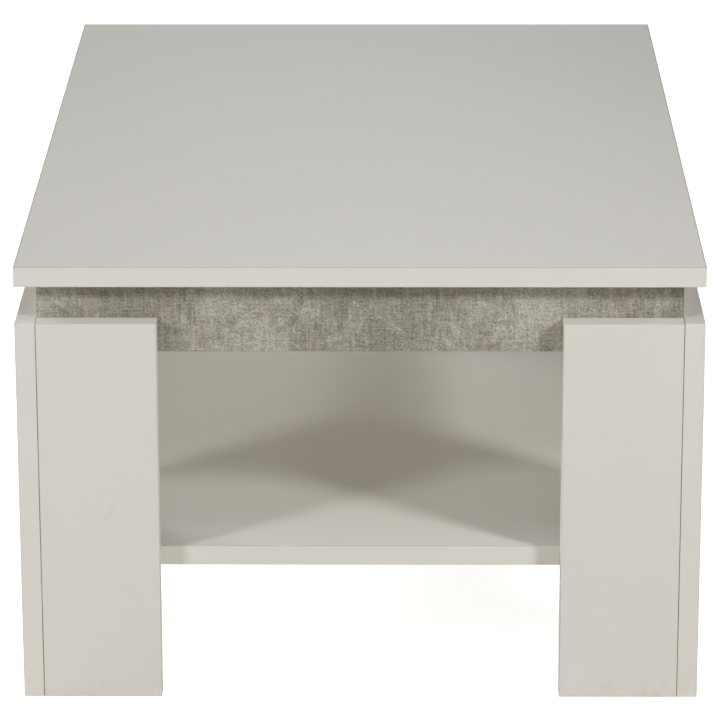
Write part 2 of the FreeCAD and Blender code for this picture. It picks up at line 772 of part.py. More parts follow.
def strut_rod():
    """Rod with its piston, which stops just short of the gland when the top is raised."""
    piston_end = (strut_tube_start + strut_tube_length - gland_length - piston_gap
                  - strut_stroke)
    rod = cylinder(rod_radius, (piston_end - piston_length, 0, 0),
                   (strut_rest - rod_eye_radius, 0, 0))
    piston = cylinder(strut_radius - strut_wall - piston_clearance,
                      (piston_end - piston_length, 0, 0), (piston_end, 0, 0))
    return along_strut(rod.fuse(piston).removeSplitter())


def strut_rod_eye():
    body, hole = eye(rod_eye_radius, rod_pin_radius + fit_gap, rod_eye_thickness, strut_rest)
    rod_end = strut_rest - rod_eye_radius
    neck = cylinder(rod_neck_radius, (rod_end - rod_neck_length, 0, 0), (strut_rest, 0, 0))
    rod_hole = cylinder(rod_radius + press_gap, (rod_end - rod_neck_length - 1, 0, 0),
                        (rod_end, 0, 0))
    return along_strut(body.fuse(neck).cut([hole, rod_hole]).removeSplitter())


def strut_rod_pin():
    """Pin through the rod's eye and on through the slot in the front arm's lug."""
    centre = lug_centre(0)
    eye_layer = (strut_depth - rod_eye_thickness / 2, strut_depth + rod_eye_thickness / 2)
    head_layer = (eye_layer[1] + eye_play, eye_layer[1] + eye_play + pivot_head_height)
    shank = across(centre, rod_pin_radius, (base_layer[1] + 2 * eye_play, head_layer[0]))
    head = across(centre, rod_pin_radius + 2, head_layer)
    collar = across(centre, rod_pin_radius + 1.5, (bracket_layer[1], eye_layer[0] - eye_play))
    return shank.fuse([head, collar]).removeSplitter()


def strut_anchor_stud():
    """Shouldered stud riveted in the base plate."""
    eye_layer = (strut_depth - anchor_eye_thickness / 2, strut_depth + anchor_eye_thickness / 2)
    shank = across(anchor, anchor_stud_radius,
                   (base_layer[0], eye_layer[1] + eye_play + 2 * clip_thickness))
    shoulder = across(anchor, anchor_shoulder_radius, (base_layer[1], eye_layer[0] - eye_play))
    return shank.fuse(shoulder).removeSplitter()


def strut_anchor_clip():
    """Spring clip on the anchor stud's free end, inside the eye."""
    start = strut_depth + anchor_eye_thickness / 2 + eye_play
    layer = (start, start + clip_thickness)
    clip = across(anchor, anchor_eye_radius, layer)
    clip = clip.cut(across(anchor, anchor_stud_radius + press_gap, through(layer)))
    opening = block((anchor[0] - clip_opening / 2, anchor[0] + clip_opening / 2),
                    (depth(layer[0] - 1), depth(layer[1] + 1)),
                    (anchor[1], anchor[1] + anchor_eye_radius + 1))
    return clip.cut(opening)


# All the nodes

def both_ends(shapes):
    return [at_end(shape, end) for shape in shapes for end in (-1, 1)]


def make_nodes():
    nodes = {}
    for side, end in corners:
        name = corner_name(side, end)
        end_board, side_board = leg_boards(side, end)
        nodes[name + "_leg_end_board"] = [end_board]
        nodes[name + "_leg_side_board"] = [side_board]
    for end, name in ((-1, "near"), (1, "far")):
        nodes[name + "_end_apron"] = [end_apron(end)]
    for side, name in ((-1, "left"), (1, "right")):
        nodes[name + "_side_apron"] = [side_apron(side)]
    nodes["storage_floor"] = [storage_floor()]
    nodes["lower_shelf"] = [lower_shelf()]

    cams = {"leg": [], "shelf": [], "apron": []}
    dowels = {"leg": [], "shelf": [], "apron": []}
    screws = []
    for side, end in corners:
        cams["leg"] += leg_joints(side, end, leg_cam_heights)
        cams["shelf"] += shelf_joints(side, end, shelf_bolt_inset)
        cams["apron"].append(apron_joint(side, end, apron_cam_rise))
        dowels["leg"] += leg_joints(side, end, leg_dowel_heights)
        dowels["shelf"] += shelf_joints(side, end, shelf_dowel_inset)
        dowels["apron"].append(apron_joint(side, end, apron_dowel_rise))
        for places in leg_screw_places(side, end):
            screws += places
    for name in ("leg", "shelf", "apron"):
        nodes[name + "_cam_locks"] = placed(cam_lock(), cams[name])
        nodes[name + "_cam_bolts"] = placed(cam_bolt(), cams[name])
        nodes[name + "_dowels"] = placed(dowel(), dowels[name])
    nodes["leg_screws"] = placed(wood_screw(board_thickness + leg_screw_bite), screws)
    nodes["lid_bumpers"] = lid_bumpers()

    plate_screw = wood_screw(plate_thickness + plate_screw_bite)
    base_pivots = (front_pivot, rear_pivot)
    top_pivots = (front_top_pivot, rear_top_pivot)
    nodes["base_plate_screws"] = both_ends(placed(plate_screw, base_screw_places()))
    nodes["base_pivot_pins"] = both_ends([base_pivot_pin(spot) for spot in base_pivots])
    nodes["base_pivot_washers"] = both_ends([washer(spot, outer_washer_layer)
                                             for spot in base_pivots])
    nodes["stop_studs"] = both_ends([stop_stud()])
    nodes["strut_anchor_studs"] = both_ends([strut_anchor_stud()])
    nodes["strut_anchor_clips"] = both_ends([strut_anchor_clip()])
    nodes["sync_tube"] = [sync_tube()]
    nodes["sync_tube_plugs"] = both_ends([sync_plug()])
    nodes["sync_tube_screws"] = both_ends([place(sync_screw_shape(), *sync_screw_spot())])
    nodes["tabletop"] = [tabletop()]
    nodes["tabletop_edging"] = tabletop_edging()
    nodes["top_bracket_screws"] = both_ends(placed(plate_screw, bracket_screw_places()))
    nodes["top_pivot_pins"] = both_ends([top_pivot_pin(spot) for spot in top_pivots])
    nodes["top_pivot_washers"] = both_ends([washer(spot, inner_washer_layer)
                                            for spot in top_pivots])
    handed = {"base_plate": base_plate, "front_arm": front_arm, "rear_arm": rear_arm,
              "top_bracket": top_bracket, "strut_tube": strut_tube, "strut_gland": strut_gland,
              "strut_anchor_eye": strut_anchor_eye, "strut_rod": strut_rod,
              "strut_rod_eye": strut_rod_eye, "strut_rod_pin": strut_rod_pin}
    for end, name in ((-1, "near"), (1, "far")):
        for piece, make in handed.items():
            nodes[name + "_" + piece] = [at_end(make(), end)]
    return nodes


os.makedirs("parts", exist_ok=True)
for node_name, solids in make_nodes().items():
    shape = solids[0] if len(solids) == 1 else Part.makeCompound(solids)
    shape.exportStep("parts/" + node_name + ".step")
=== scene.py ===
import json
import math

import bpy
import numpy as np
from mathutils import Matrix, Vector


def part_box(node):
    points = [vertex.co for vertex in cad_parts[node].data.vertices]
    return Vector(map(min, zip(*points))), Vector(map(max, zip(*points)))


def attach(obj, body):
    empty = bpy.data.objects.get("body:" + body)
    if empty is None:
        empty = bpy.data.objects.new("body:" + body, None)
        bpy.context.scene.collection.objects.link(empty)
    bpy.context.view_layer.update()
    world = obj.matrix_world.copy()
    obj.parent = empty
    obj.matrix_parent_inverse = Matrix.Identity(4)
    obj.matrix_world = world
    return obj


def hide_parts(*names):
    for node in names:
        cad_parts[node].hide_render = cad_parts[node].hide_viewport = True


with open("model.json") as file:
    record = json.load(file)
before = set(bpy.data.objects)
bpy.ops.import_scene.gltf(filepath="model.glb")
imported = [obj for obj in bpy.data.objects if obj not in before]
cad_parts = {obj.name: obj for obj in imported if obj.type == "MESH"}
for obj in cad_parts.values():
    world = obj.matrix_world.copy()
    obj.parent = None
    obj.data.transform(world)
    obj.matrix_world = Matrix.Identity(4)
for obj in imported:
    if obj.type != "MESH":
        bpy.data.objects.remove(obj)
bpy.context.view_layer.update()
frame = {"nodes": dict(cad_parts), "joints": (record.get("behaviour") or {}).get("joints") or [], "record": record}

nodes = frame["nodes"]
mm = 0.001
print("frame loaded:", len(nodes), "nodes")


view = {
    "lens": 212.4,
    "place": (0.029, -3.964, 1.456),
    "downTilt": 17.973,
    "heading": -0.47,
    "roll": -0.105,
    "sensor": 36,
    "reach": 50,
}


def placeCamera():
    data = bpy.data.cameras.new("camera")
    data.lens = view["lens"]
    data.sensor_width = view["sensor"]
    data.clip_end = view["reach"]
    camera = bpy.data.objects.new("camera", data)
    bpy.context.scene.collection.objects.link(camera)
    turn = (Matrix.Rotation(-math.radians(view["heading"]), 4, "Z")
            @ Matrix.Rotation(math.radians(90 - view["downTilt"]), 4, "X")
            @ Matrix.Rotation(math.radians(view["roll"]), 4, "Z"))
    camera.matrix_world = Matrix.Translation(view["place"]) @ turn
    bpy.context.scene.camera = camera


# Lights stand round a point under the near half of the top: round is the angle from the near end
# towards the right side, up is the height angle, both in degrees
softLights = {
    "keyRight": {"round": 50, "up": 30.5, "far": 3.0, "size": 0.42, "power": 44},
    "keyLeft": {"round": -50, "up": 26, "far": 3.0, "size": 0.42, "power": 32},
    "sideRight": {"round": 90, "up": 35, "far": 3.0, "size": 0.8, "power": 7.5},
    "sideLeft": {"round": -90, "up": 35, "far": 3.0, "size": 0.8, "power": 4.5},
    "lowLeft": {"round": -120, "up": 12, "far": 3.0, "size": 0.7, "power": 60},
    "back": {"round": 180, "up": 25, "far": 3.0, "size": 0.9, "power": 6},
    "front": {"round": 0, "up": 60, "far": 3.0, "size": 1.0, "power": 7.5},
    "overhead": {"round": 0, "up": 80, "far": 3.0, "size": 1.2, "power": 10},
}
lightMiddle = (0.0, -0.25, 0.2)
skyLight = {"colour": (1.0, 1.0, 1.0), "strength": 0.03}


def placeLights():
    for name, light in softLights.items():
        data = bpy.data.lights.new(name, "AREA")
        data.size = light["size"]
        data.energy = light["power"]
        lamp = bpy.data.objects.new(name, data)
        bpy.context.scene.collection.objects.link(lamp)
        turn, up = math.radians(light["round"]), math.radians(light["up"])
        outward = Vector((math.sin(turn) * math.cos(up), -math.cos(turn) * math.cos(up),
                          math.sin(up)))
        lamp.location = Vector(lightMiddle) + outward * light["far"]
        lamp.rotation_mode = "QUATERNION"
        lamp.rotation_quaternion = (-outward).to_track_quat("-Z", "Y")
    world = bpy.data.worlds.new("sky")
    bpy.context.scene.world = world
    world.use_nodes = True
    sky = world.node_tree.nodes["Background"]
    sky.inputs["Color"].default_value = (*skyLight["colour"], 1)
    sky.inputs["Strength"].default_value = skyLight["strength"]
    bpy.context.scene.view_settings.view_transform = "Standard"


# Materials. A Wire is one socket of a material; arithmetic on wires adds Math nodes.

class Wire:
    def __init__(self, finish, socket):
        self.finish = finish
        self.socket = socket

    def __add__(self, other):
        return self.finish.maths("ADD", self, other)

    def __radd__(self, other):
        return self.finish.maths("ADD", other, self)

    def __sub__(self, other):
        return self.finish.maths("SUBTRACT", self, other)

    def __rsub__(self, other):
        return self.finish.maths("SUBTRACT", other, self)

    def __mul__(self, other):
        return self.finish.maths("MULTIPLY", self, other)

    def __rmul__(self, other):
        return self.finish.maths("MULTIPLY", other, self)

    def __abs__(self):
        return self.finish.maths("ABSOLUTE", self, 0.0)


class Finish:
    def __init__(self, name):
        self.material = bpy.data.materials.new(name)
        self.material.use_nodes = True
        self.tree = self.material.node_tree
        self.tree.nodes.clear()
        self.shader = self.tree.nodes.new("ShaderNodeBsdfPrincipled")
        output = self.tree.nodes.new("ShaderNodeOutputMaterial")
        self.tree.links.new(self.shader.outputs[0], output.inputs["Surface"])

    def node(self, kind, settings=(), values=(), out=0):
        made = self.tree.nodes.new(kind)
        for name, setting in dict(settings).items():
            if name == "stops":
                self.setStops(made.color_ramp, setting)
            else:
                setattr(made, name, setting)
        for key, value in dict(values).items():
            self.feed(made.inputs[key], value)
        return Wire(self, made.outputs[out])

    def setStops(self, ramp, stops):
        while len(ramp.elements) < len(stops):
            ramp.elements.new(1.0)
        for element, (place, colour) in zip(ramp.elements, stops):
            element.position = place
            element.color = (*colour, 1)

    def feed(self, socket, value):
        if isinstance(value, Wire):
            self.tree.links.new(value.socket, socket)
        elif socket.type == "RGBA":
            socket.default_value = (*value[:3], 1)
        else:
            socket.default_value = value

    def maths(self, operation, first, second):
        return self.node("ShaderNodeMath", {"operation": operation}, {0: first, 1: second})

    def least(self, first, second):
        return self.maths("MINIMUM", first, second)

    def most(self, first, second):
        return self.maths("MAXIMUM", first, second)

    def place(self):
        return self.node("ShaderNodeTexCoord", out="Object")

    def axes(self, vector):
        split = self.node("ShaderNodeSeparateXYZ", values={0: vector}).socket.node
        return [Wire(self, split.outputs[index]) for index in range(3)]

    def stretched(self, vector, scale):
        return self.node("ShaderNodeMapping", values={"Vector": vector, "Scale": scale})

    def noise(self, vector, scale, detail=2.0, roughness=0.5):
        return self.node("ShaderNodeTexNoise", values={"Vector": vector, "Scale": scale,
                                                       "Detail": detail, "Roughness": roughness})

    def cells(self, vector, scale):
        # distance to the nearest cell's middle
        return self.node("ShaderNodeTexVoronoi", values={"Vector": vector, "Scale": scale},
                         out="Distance")

    def ramp(self, value, low, high, start=0.0, end=1.0):
        return self.node("ShaderNodeMapRange", {"interpolation_type": "SMOOTHSTEP"},
                         {0: value, 1: low, 2: high, 3: start, 4: end})

    def along(self, vector, turn, stretch):
        # turns the pattern, then draws it out along its own upright axis
        return self.node("ShaderNodeMapping", {"vector_type": "TEXTURE"},
                         {"Vector": vector, "Rotation": turn, "Scale": (1, 1, stretch)})

    def shaded(self, colour, shade):
        grey = self.node("ShaderNodeCombineColor", values={0: shade, 1: shade, 2: shade})
        return self.mix(1.0, colour, grey, "MULTIPLY")

    def mix(self, share, first, second, how="MIX"):
        return self.node("ShaderNodeMix", {"data_type": "RGBA", "blend_type": how},
                         {0: share, 6: first, 7: second}, out=2)

    def bump(self, height, distance, strength=1.0):
        return self.node("ShaderNodeBump", values={"Height": height, "Distance": distance,
                                                   "Strength": strength})

    def finished(self, **sockets):
        for name, value in sockets.items():
            self.feed(self.shader.inputs[name.replace("_", " ")], value)
        return self.material


white = {
    "board": (0.680, 0.657, 0.615),
    "strip": (0.700, 0.669, 0.621),
    "seam": (0.30, 0.21, 0.13),
    "joint": (0.10, 0.075, 0.055),
    "dirt": (0.30, 0.25, 0.19),
    "chipped": (0.46, 0.33, 0.21),
    "stripWidth": 0.8 * mm,
    "seamWidth": (0.30 * mm, 0.62 * mm),
    "seamStrength": 0.5,
    "jointWidth": (0.12 * mm, 0.50 * mm),
    "jointStrength": 0.85,
    "roughness": 0.46,
    "specular": 0.36,
    "grainDepth": 0.02 * mm,
}


def boardGaps(finish, place, node):
    # half size minus offset from the middle, along each axis: the least of the two long ones is the
    # distance from the outline, the thin one is the depth below the faces
    low, high = np.array(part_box(node))
    centre, half = (low + high) / 2, (high - low) / 2
    gaps = [float(half[index]) - abs(wire - float(centre[index]))
            for index, wire in enumerate(finish.axes(place))]
    depth = gaps.pop(int(np.argmin(half)))
    return finish.least(gaps[0], gaps[1]), depth


def hairlines(finish, place, scale, turn):
    # hair scratches: thin where a noise stretched thirty times along one way passes one half,
    # kept only where a slow noise is high
    drawn = finish.noise(finish.along(place, turn, 30), scale, 1)
    kept = finish.ramp(finish.noise(place, 13, 1), 0.62, 0.7)
    return (1 - finish.ramp(abs(drawn - 0.5), 0.0, 0.004)) * kept


def wearMarks(finish, place, arris):
    # rare specks (cells cut at a small radius), chips along each arris, a grey rub near the floor
    speck = 1 - finish.ramp(finish.cells(place, 20), 0.010, 0.026)
    rare = finish.ramp(finish.noise(place, 29, 0), 0.64, 0.68)
    chipped = (1 - finish.ramp(arris, 0.2 * mm, 1.1 * mm)) * finish.ramp(
        finish.noise(place, 120, 3, 0.7), 0.66, 0.72)
    height = finish.axes(place)[2]
    rub = (1 - finish.ramp(height, 2 * mm, 26 * mm)) * finish.ramp(
        finish.noise(finish.along(place, (0.4, 0.2, 0), 4), 70, 4, 0.75), 0.46, 0.74)
    return speck * rare, chipped, rub


def legJoint(finish, place, node):
    # dark line where a leg's two boards meet: offset across the table against the joint's own
    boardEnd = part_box(node.replace("side_board", "end_board"))
    joint = max(abs(boardEnd[0][0]), abs(boardEnd[1][0]))
    off = abs(abs(finish.axes(place)[0]) - joint)
    wander = finish.noise(place, 30, 3, 0.6)
    line = 1 - finish.ramp(off, *white["jointWidth"])
    return line * finish.ramp(wander, 0.25, 0.55, 0.55, 1.0)


def whiteBoard(node, stripWidth):
    # board colour with slow clouds and an orange peel grain; a plastic strip along the outline and
    # a brown glue seam where the outline distance is nearly nothing; specks, chips and hair scratches
    finish = Finish("white_" + node)
    place = finish.place()
    cloud = finish.noise(place, 6, 3, 0.55)
    grain = finish.noise(place, 620, 2, 0.6)
    gap, depth = boardGaps(finish, place, node)
    arris = finish.most(gap, depth)
    strip = 1 - finish.ramp(gap, stripWidth - 0.05 * mm, stripWidth)
    seam = 1 - finish.ramp(arris, *white["seamWidth"])
    seam = seam * finish.ramp(finish.noise(place, 45, 3, 0.6), 0.30, 0.62, 0.5, 1.0)
    scratch = finish.most(hairlines(finish, place, 55, (0.5, 0.3, 0.9)),
                          hairlines(finish, place, 48, (1.2, 0.8, 0.2)))
    speck, chipped, rub = wearMarks(finish, place, arris)
    colour = finish.mix(strip, white["board"], white["strip"])
    colour = finish.shaded(colour, 0.97 + cloud * 0.04 + grain * 0.02)
    colour = finish.mix(scratch * 0.10, colour, white["dirt"])
    colour = finish.mix(rub * 0.16, colour, white["dirt"])
    colour = finish.mix(seam * white["seamStrength"], colour, white["seam"])
    colour = finish.mix(speck * 0.5, colour, white["dirt"])
    colour = finish.mix(chipped * 0.55, colour, white["chipped"])
    rough = white["roughness"] + cloud * 0.08 + grain * 0.04 + scratch * 0.15 + rub * 0.1
    height = grain - scratch * 0.6 - chipped * 2 - seam
    if "_leg_" in node:
        joint = legJoint(finish, place, node)
        colour = finish.mix(joint * white["jointStrength"], colour, white["joint"])
        height = height - joint * 4
    return finish.finished(Base_Color=colour, Roughness=rough,
                           Specular_IOR_Level=white["specular"],
                           Normal=finish.bump(height, white["grainDepth"], 0.6))


def edgingStrip():
    # warm plastic colour with slow clouds and a fine grain along the strip; brown glue lines where
    # the height nears the top's two faces
    finish = Finish("edging_strip")
    place = finish.place()
    low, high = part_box("tabletop_edging")
    middle, half = (low[2] + high[2]) / 2, (high[2] - low[2]) / 2
    cloud = finish.noise(place, 9, 2)
    grain = finish.noise(finish.stretched(place, (0.1, 0.1, 1)), 1500, 2, 0.6)
    toFace = half - abs(finish.axes(place)[2] - middle)
    glue = 1 - finish.ramp(toFace, 0.30 * mm, 0.75 * mm)
    glue = glue * finish.ramp(finish.noise(place, 60, 3, 0.6), 0.3, 0.6, 0.55, 1.0)
    nick = finish.ramp(finish.noise(place, 95, 3, 0.7), 0.70, 0.75) * (
        1 - finish.ramp(toFace, 0.5 * mm, 1.6 * mm))
    colour = finish.shaded(white["strip"], 0.965 + cloud * 0.045 + grain * 0.025)
    colour = finish.mix(glue * 0.42, colour, white["seam"])
    colour = finish.mix(nick * 0.6, colour, white["chipped"])
    return finish.finished(Base_Color=colour, Roughness=0.36 + grain * 0.08,
                           Normal=finish.bump(grain - nick * 2, 0.02 * mm, 0.5))


concrete = {
    "dark": (0.150, 0.136, 0.106),
    "middle": (0.330, 0.308, 0.258),
    "pale": (0.560, 0.540, 0.480),
    "rust": (0.300, 0.262, 0.215),
    "streak": (0.56, 0.545, 0.50),
    "shift": (19.0, 0.3),
    "cloud": {"scale": 6, "share": 0.62},
    "patch": {"scale": 34, "share": 0.30},
    "blotch": {"scale": 120, "share": 0.25},
    "brush": {"scale": 330, "share": 0.60, "draw": 0.12},
    "cross": {"scale": 520, "share": 0.45, "draw": 0.12},
    "speckle": {"scale": 640, "share": 1.20, "slant": 37},
    "worms": {"scale": 380, "share": 0.22, "slant": 24},
    "grit": {"scale": 330, "share": 0.12},
    "trowel": {"scale": 95, "share": 0.55, "slant": -58, "length": 60},
    "roughness": 0.60,
    "bumpDepth": 0.05 * mm,
}


def concreteBoard():
    # printed on flat sheet coordinates (across = x + y, up = z, and x - y on the narrow edges).
    # tone = 0.5 + the sum of (noise - 0.5) * share over cloud, patch, blotch, upright brush, level
    # cross brush and speckle, + worms and grit where cloud and blotch are high; a dark to pale ramp
    # colours it, rust spots tint it, and straight pale trowel lines cross it on a slant
    finish = Finish("concrete_decor")
    x, y, up = finish.axes(finish.place())
    low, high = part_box("near_end_apron")
    onEdge = finish.most(finish.ramp(up, high[2] - 0.5 * mm, high[2] - 0.3 * mm),
                         1 - finish.ramp(up, low[2] + 0.3 * mm, low[2] + 0.5 * mm))
    sheet = finish.node("ShaderNodeCombineXYZ", values={
        0: x + y + concrete["shift"][0], 1: (x - y) * onEdge, 2: up + concrete["shift"][1]})
    brush, cross, speckle, worm, trowel = [
        concrete[name] for name in ("brush", "cross", "speckle", "worms", "trowel")]
    upright = finish.stretched(sheet, (1, 1, brush["draw"]))
    level = finish.stretched(sheet, (cross["draw"], 1, 1))
    slanted = finish.along(sheet, (0, math.radians(speckle["slant"]), 0), 1.3)
    layers = {
        "cloud": finish.noise(sheet, concrete["cloud"]["scale"], 3, 0.6),
        "patch": finish.noise(sheet, concrete["patch"]["scale"], 3, 0.6),
        "blotch": finish.noise(sheet, concrete["blotch"]["scale"], 3, 0.65),
        "brush": finish.noise(upright, brush["scale"], 3, 0.7),
        "cross": finish.noise(level, cross["scale"], 2, 0.7),
        "speckle": finish.noise(slanted, speckle["scale"], 3, 0.8),
    }
    tone = 0.5
    for name, layer in layers.items():
        tone = tone + (layer - 0.5) * concrete[name]["share"]
    turnedSheet = finish.along(sheet, (0, math.radians(worm["slant"]), 0), 1)
    winding = finish.noise(turnedSheet, worm["scale"], 2, 0.6)
    worms = 1 - finish.ramp(abs(winding - 0.5), 0.0, 0.05)
    wormy = finish.ramp(layers["blotch"] * 0.4 + layers["cloud"] * 0.6, 0.47, 0.56)
    grit = 1 - finish.ramp(finish.cells(sheet, concrete["grit"]["scale"]), 0.10, 0.26)
    tone = tone + worms * wormy * worm["share"] + grit * wormy * concrete["grit"]["share"] - 0.045
    colour = finish.node("ShaderNodeValToRGB", {"stops": [
        (0.22, concrete["dark"]), (0.5, concrete["middle"]), (0.80, concrete["pale"])]},
        {0: tone})
    warm = finish.ramp(finish.noise(sheet, 26, 2, 0.6), 0.52, 0.68)
    colour = finish.mix(warm * 0.35, colour, concrete["rust"])
    drawn = finish.along(sheet, (0, math.radians(trowel["slant"]), 0), trowel["length"])
    pulled = finish.noise(drawn, trowel["scale"], 1)
    lines = 1 - finish.ramp(abs(pulled - 0.5), 0.0, 0.014)
    where = finish.ramp(finish.noise(sheet, 11, 1), 0.50, 0.58)
    broken = finish.ramp(layers["speckle"], 0.40, 0.56)
    colour = finish.mix(lines * where * broken * trowel["share"], colour, concrete["streak"])
    height = layers["speckle"] + layers["brush"] * 0.5
    return finish.finished(Base_Color=colour,
                           Roughness=concrete["roughness"] + layers["speckle"] * 0.14,
                           Normal=finish.bump(height, concrete["bumpDepth"], 0.6))


hardboard = {
    "face": (0.66, 0.64, 0.60),
    "back": (0.56, 0.515, 0.41),
    "fibre": (0.68, 0.64, 0.55),
    "paintFade": (0.5 * mm, 0.9 * mm),
    "bumpDepth": 0.08 * mm,
}


def floorPanel():
    # painted down to half a millimetre under the top face; below that bare buff fibreboard, where
    # a fine noise picks out pale fibres and two crossed sets of ridges print the back
    finish = Finish("floor_panel")
    place = finish.place()
    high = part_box("storage_floor")[1]
    up = finish.axes(place)[2]
    painted, bared = hardboard["paintFade"]
    back = 1 - finish.ramp(up, high[2] - bared, high[2] - painted)
    fibre = finish.noise(finish.stretched(place, (1, 0.4, 1)), 900, 3, 0.75)
    cloud = finish.noise(place, 12, 3, 0.6)
    ridges = [finish.node("ShaderNodeTexWave", {"bands_direction": way},
                          {"Vector": place, "Scale": 160, "Distortion": 1.2}) for way in "XY"]
    bare = finish.mix(finish.ramp(fibre, 0.42, 0.66), hardboard["back"], hardboard["fibre"])
    paint = finish.shaded(hardboard["face"], 0.97 + cloud * 0.04 + fibre * 0.02)
    colour = finish.mix(back, paint, finish.shaded(bare, 0.90 + cloud * 0.2))
    height = fibre * 0.4 + ridges[0] * ridges[1] * back
    return finish.finished(Base_Color=colour, Roughness=0.5 + back * 0.25 + fibre * 0.05,
                           Normal=finish.bump(height, hardboard["bumpDepth"], 0.6))


def plainish(name, colour, other, scale, roughness, metallic=0.0, bumpDepth=0.02):
    # mixed = colour to other by a slow noise; a noise twelve times finer roughens the surface
    finish = Finish(name)
    place = finish.place()
    drift = finish.noise(place, scale, 3, 0.6)
    fine = finish.noise(place, scale * 12, 3, 0.6)
    mixed = finish.mix(drift, colour, other)
    return finish.finished(Base_Color=mixed, Roughness=roughness - 0.06 + fine * 0.12,
                           Metallic=metallic, Normal=finish.bump(fine, bumpDepth * mm, 0.6))


def dress(node, material):
    target = nodes[node]
    if not target.material_slots:
        target.data.materials.append(material)
    for spot in target.material_slots:
        spot.material = material


floorSettings = {"half": 6.0, "colour": (0.87, 0.86, 0.81), "glow": 0.74, "roughness": 0.9,
                 "driftScale": 3, "driftShare": 0.04}


def makeFloor():
    # paper: colour * (0.98 + drift * share) under a glow that only the camera meets, so the sheet
    # reads white and lights nothing
    half = floorSettings["half"]
    mesh = bpy.data.meshes.new("studio_floor")
    mesh.from_pydata([(-half, -half, 0), (half, -half, 0), (half, half, 0), (-half, half, 0)],
                     [], [(0, 1, 2, 3)])
    floor = bpy.data.objects.new("studio_floor", mesh)
    bpy.context.scene.collection.objects.link(floor)
    finish = Finish("floor_paper")
    drift = finish.noise(finish.place(), floorSettings["driftScale"], 2)
    seen = finish.node("ShaderNodeLightPath", out="Is Camera Ray")
    tint = finish.shaded(floorSettings["colour"], 0.98 + drift * floorSettings["driftShare"])
    mesh.materials.append(finish.finished(
        Base_Color=tint, Roughness=floorSettings["roughness"],
        Emission_Color=finish.mix(seen, (0, 0, 0), (1, 1, 1)),
        Emission_Strength=floorSettings["glow"]))


placeCamera()
placeLights()
makeFloor()
print("camera, lights and floor done")

finishes = {
    "concrete_board": concreteBoard(),
    "edging": edgingStrip(),
    "floor_panel": floorPanel(),
    "beech": plainish("beech", (0.62, 0.42, 0.24), (0.72, 0.52, 0.32), 120, 0.6),
    "rubber": plainish("rubber", (0.02, 0.02, 0.02), (0.035, 0.035, 0.035), 400, 0.75),
    "nylon": plainish("nylon", (0.72, 0.70, 0.62), (0.78, 0.76, 0.70), 200, 0.45),
    "black_steel": plainish("black_powder_coat", (0.018, 0.018, 0.02), (0.03, 0.03, 0.032),
                            90, 0.5, bumpDepth=0.05),
    "strut_black": plainish("black_enamel", (0.012, 0.012, 0.013), (0.016, 0.016, 0.017),
                            60, 0.22),
    "chrome_rod": plainish("chrome", (0.75, 0.75, 0.77), (0.82, 0.82, 0.83), 80, 0.12, 1.0),
    "zinc_casting": plainish("zinc_casting", (0.42, 0.42, 0.43), (0.52, 0.52, 0.53),
                             260, 0.42, 1.0, 0.05),
    "black_plastic": plainish("black_plastic", (0.02, 0.02, 0.02), (0.03, 0.03, 0.03), 150, 0.5),
    "zinc_steel": plainish("zinc_steel", (0.56, 0.57, 0.58), (0.66, 0.66, 0.64), 180, 0.3, 1.0),
}
for part in frame["record"]["subparts"]:
    node, slot = part["node"], part["material_slot"]
    if slot == "white_board":
        dress(node, whiteBoard(node, 0.0 if node == "tabletop" else white["stripWidth"]))
    else:
        dress(node, finishes[slot])
print("materials done")



# Turned pieces. Each is a grid of rings and sides round an axis, with its place along the axis and
# its radius given as arrays over the grid; the CAD solids say where each one goes.

def solidsOf(node):
    # points of each separate solid: equal points share a label, and every triangle hands on its
    # lowest label until none changes
    mesh = nodes[node].data
    points = np.empty(len(mesh.vertices) * 3)
    mesh.vertices.foreach_get("co", points)
    corners = np.empty(len(mesh.loops), dtype=np.int64)
    mesh.loops.foreach_get("vertex_index", corners)
    places, same = np.unique(np.round(points.reshape(-1, 3), 6), axis=0, return_inverse=True)
    triangles = same.reshape(-1)[corners].reshape(-1, 3)
    labels = np.arange(len(places))
    settled = False
    while not settled:
        spread = labels.copy()
        np.minimum.at(spread, triangles.ravel(), np.repeat(labels[triangles].min(axis=1), 3))
        settled = bool((spread == labels).all())
        labels = spread
    return [places[labels == label] for label in np.unique(labels)]


endSlice = {"depth": 0.3 * mm, "margin": 0.1 * mm}


def lineOf(points):
    # a solid's own line: from the middle of its wider end, along its longest side
    low, high = points.min(axis=0), points.max(axis=0)
    long = int(np.argmax(high - low))
    middle = (low + high) / 2
    wide = np.linalg.norm(np.delete(points - middle, long, axis=1), axis=1)
    nearLow = points[:, long] < low[long] + endSlice["depth"]
    nearHigh = points[:, long] > high[long] - endSlice["depth"]
    fromHigh = wide[nearHigh].max() > wide[nearLow].max() + endSlice["margin"]
    axis = np.zeros(3)
    axis[long] = -1.0 if fromHigh else 1.0
    start = middle.copy()
    start[long] = high[long] if fromHigh else low[long]
    return start, axis, float(high[long] - low[long])


